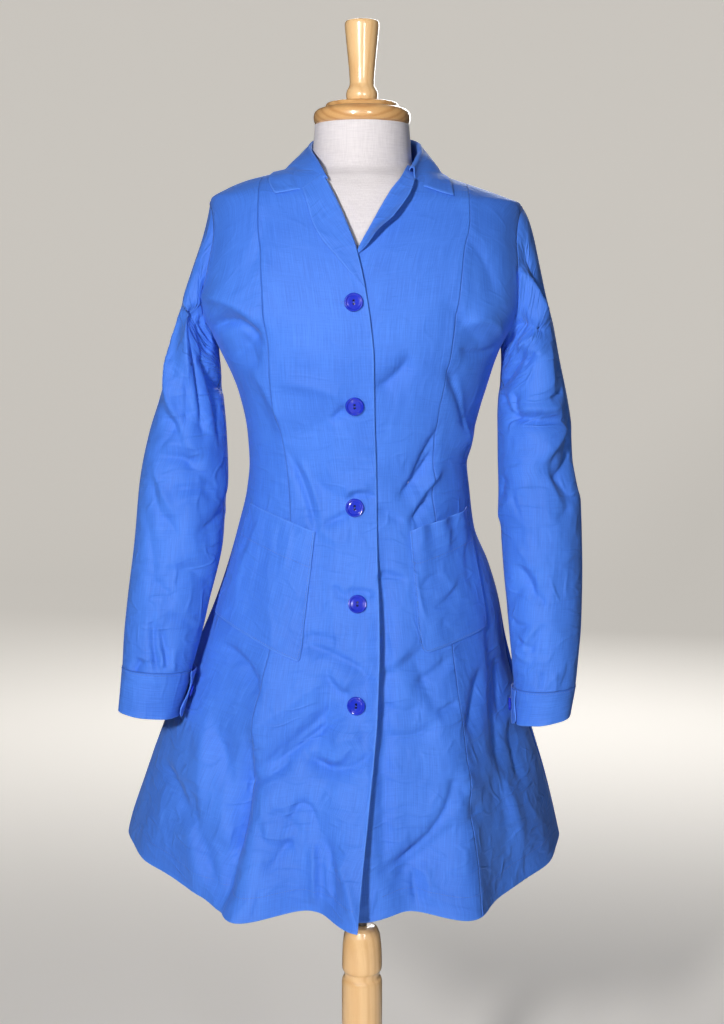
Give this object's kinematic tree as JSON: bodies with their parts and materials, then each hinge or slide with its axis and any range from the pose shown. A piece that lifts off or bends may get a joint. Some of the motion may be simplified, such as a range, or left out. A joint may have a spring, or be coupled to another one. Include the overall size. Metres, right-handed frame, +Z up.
{
  "type": "nurse uniform dress on a dress form",
  "caption": "Blue princess-seamed coat dress with notched collar, long sleeves, front buttons and patch pockets, standing buttoned on a limbless linen dress form with a round wooden base.",
  "frame": {"origin": "centre of the round base's underside, on the floor", "axes": "+Z up, -Y towards the dress's front, +X towards the wearer's left"},
  "size_m": [0.5509, 0.4264, 1.554],
  "materials": {
    "cotton": "plain-woven cotton, bright blue, with a slight sheen",
    "button": "polished royal blue plastic",
    "linen": "matt off-white linen stretched over the form",
    "maple": "turned light maple under glossy varnish",
    "steel": "dark steel rod"
  },
  "bodies": {
    "root": {"front_right": "cotton", "front_left": "cotton", "side_front_right": "cotton", "side_front_left": "cotton", "side_back_right": "cotton", "side_back_left": "cotton", "back": "cotton", "sleeve_right": "cotton", "sleeve_left": "cotton", "cuff_right": "cotton", "cuff_left": "cotton", "collar": "cotton", "lapel_right": "cotton", "lapel_left": "cotton", "pocket_right": "cotton", "pocket_left": "cotton", "button_1": "button", "button_2": "button", "button_3": "button", "button_4": "button", "button_5": "button", "cuff_button_right": "button", "cuff_button_left": "button", "form_torso": "linen", "neck_cap": "maple", "finial": "maple", "post": "maple", "base": "maple", "rod": "steel"}
  },
  "joints": []
}
